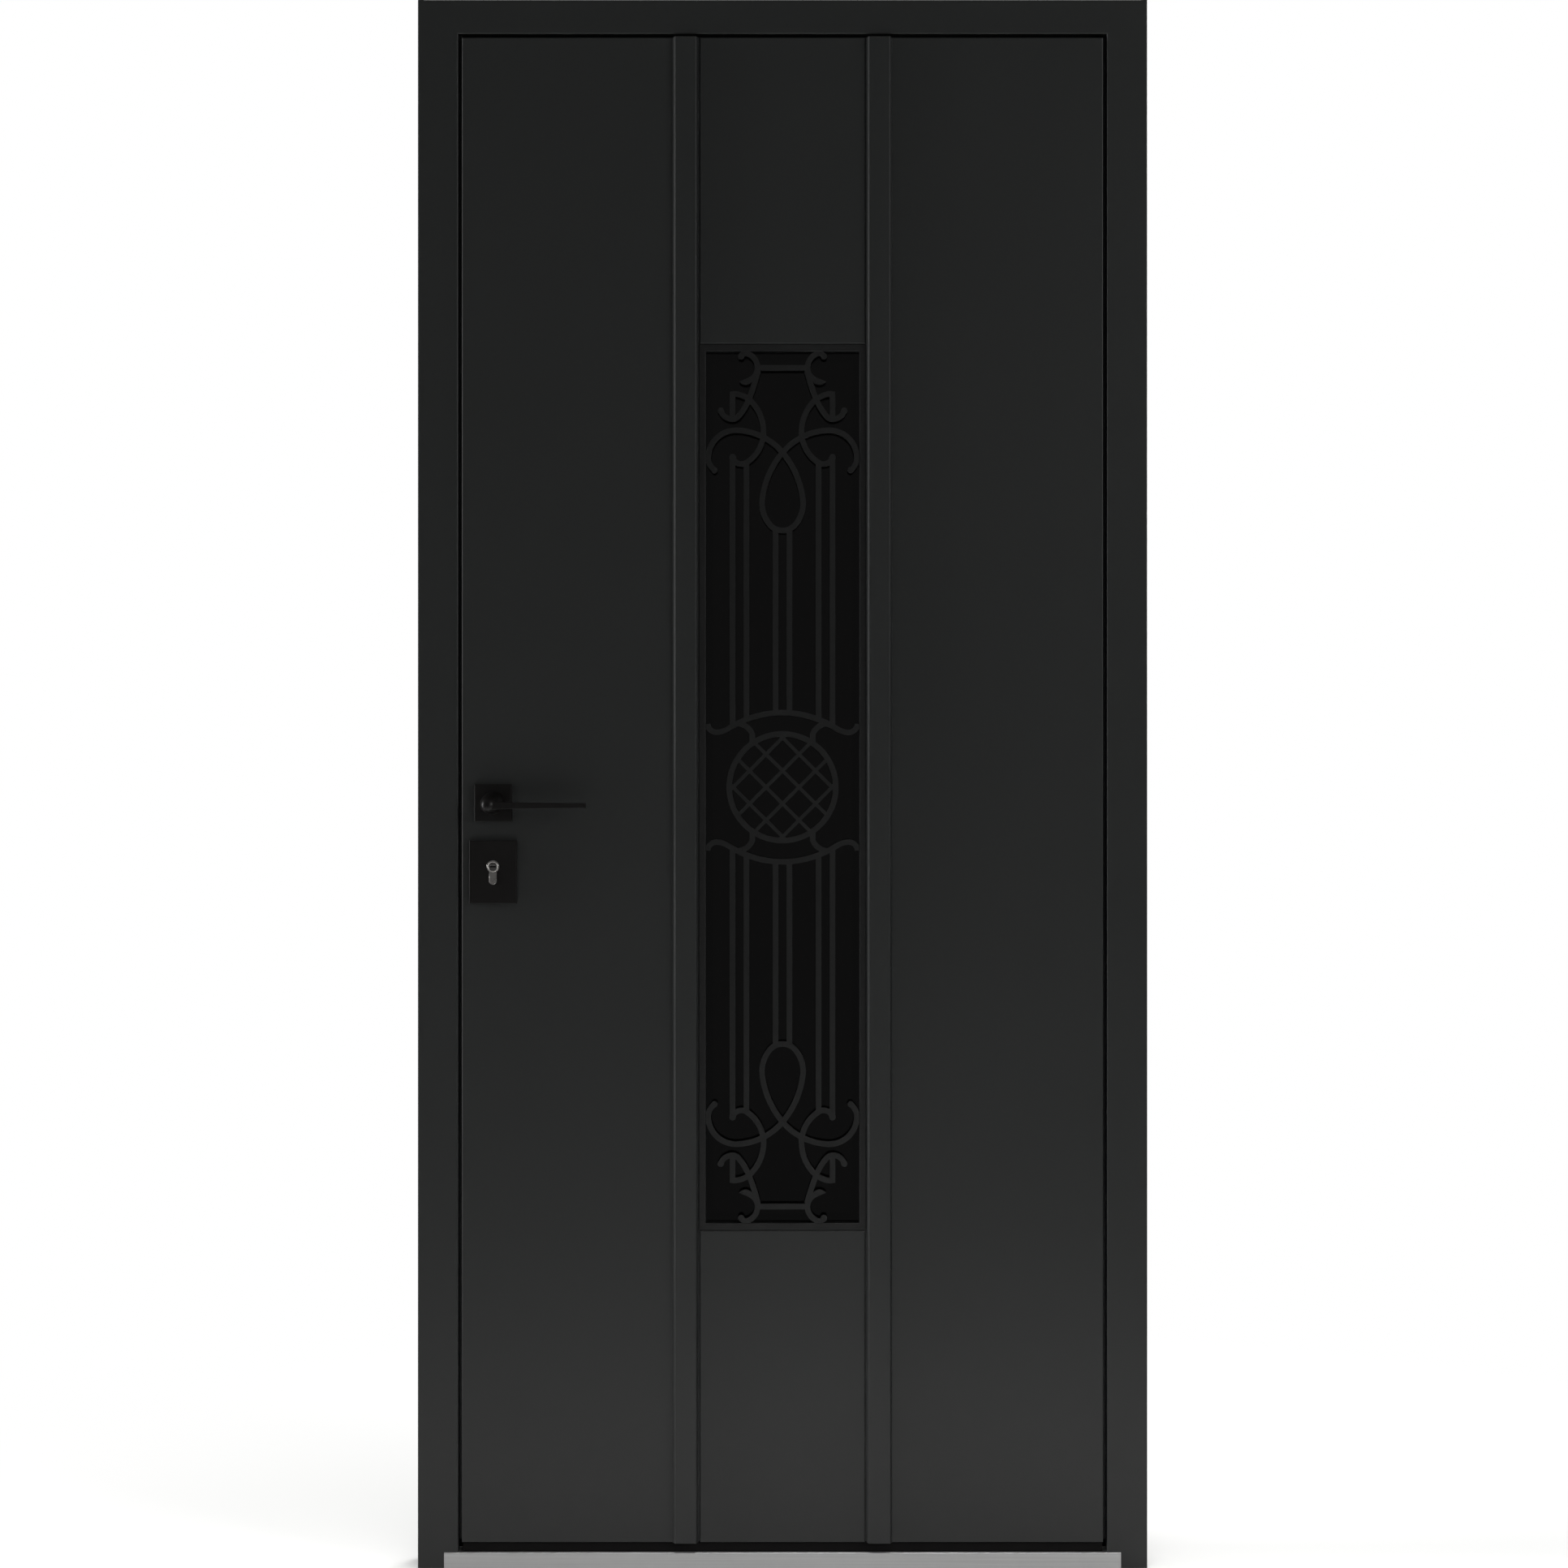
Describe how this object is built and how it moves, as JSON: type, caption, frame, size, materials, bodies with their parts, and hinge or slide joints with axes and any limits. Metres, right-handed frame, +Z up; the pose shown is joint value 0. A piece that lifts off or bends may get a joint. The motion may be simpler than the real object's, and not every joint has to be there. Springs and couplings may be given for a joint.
{
  "type": "steel front door",
  "caption": "Dark steel front door in its frame, with raised vertical strips, a scroll grille over a narrow glass pane, lever handle and key escutcheon; the leaf swings inward.",
  "frame": {"origin": "middle of the underside of the threshold, at floor level and mid depth of the frame", "axes": "+Z up, -Y towards the outside, +X towards the hinges as seen from outside"},
  "size_m": [1, 0.1688, 2.15],
  "materials": {
    "anthracite_paint": "satin powder coat",
    "grille_paint": "satin powder coat",
    "black_hardware": "satin black",
    "black_rubber": "matte",
    "dark_glass": "polished tinted",
    "anodised_aluminium": "satin anodised",
    "satin_nickel": "satin",
    "satin_steel": "satin",
    "insulation": "rigid foam"
  },
  "bodies": {
    "frame": {"lock_jamb": "anthracite_paint", "hinge_jamb": "anthracite_paint", "head": "anthracite_paint", "threshold": "anodised_aluminium", "lock_side_seal": "black_rubber", "hinge_side_seal": "black_rubber", "head_seal": "black_rubber", "strike_plate": "satin_steel", "bottom_hinge_jamb_half": "satin_steel", "middle_hinge_jamb_half": "satin_steel", "top_hinge_jamb_half": "satin_steel"},
    "leaf": {"bottom_hinge_leaf_half": "satin_steel", "bottom_sweep": "black_rubber", "end_beads": "anthracite_paint", "glazing_gasket": "black_rubber", "grille_border": "grille_paint", "hinge_side_panel": "anthracite_paint", "hinge_side_strip": "anthracite_paint", "inner_pan": "anthracite_paint", "inner_pane": "dark_glass", "inside_escutcheon": "black_hardware", "inside_rose": "black_hardware", "key_cylinder": "satin_nickel", "latch_and_bolt": "satin_steel", "leaf_core": "insulation", "lock_faceplate": "satin_steel", "lock_side_panel": "anthracite_paint", "lock_side_strip": "anthracite_paint", "middle_hinge_leaf_half": "satin_steel", "outer_pane": "dark_glass", "outside_escutcheon": "black_hardware", "outside_rose": "black_hardware", "pane_spacer": "anodised_aluminium", "panel_above_glass": "anthracite_paint", "panel_below_glass": "anthracite_paint", "scroll_grille": "grille_paint", "side_beads": "anthracite_paint", "top_hinge_leaf_half": "satin_steel"},
    "lever": {"outside_lever": "black_hardware", "inside_lever": "black_hardware", "spindle": "satin_steel"}
  },
  "joints": [
    {"name": "leaf_swing", "type": "hinge", "parent": "frame", "child": "leaf", "pos_m": [0.454, 0.047, 0], "axis": [0, 0, -1], "range_deg": [0, 110]},
    {"name": "lever_turn", "type": "hinge", "parent": "leaf", "child": "lever", "pos_m": [-0.396, 0, 1.049], "axis": [0, 1, 0], "range_deg": [0, 45], "stiffness_Nm_per_rad": 1.5, "springref_deg": -28.65}
  ]
}
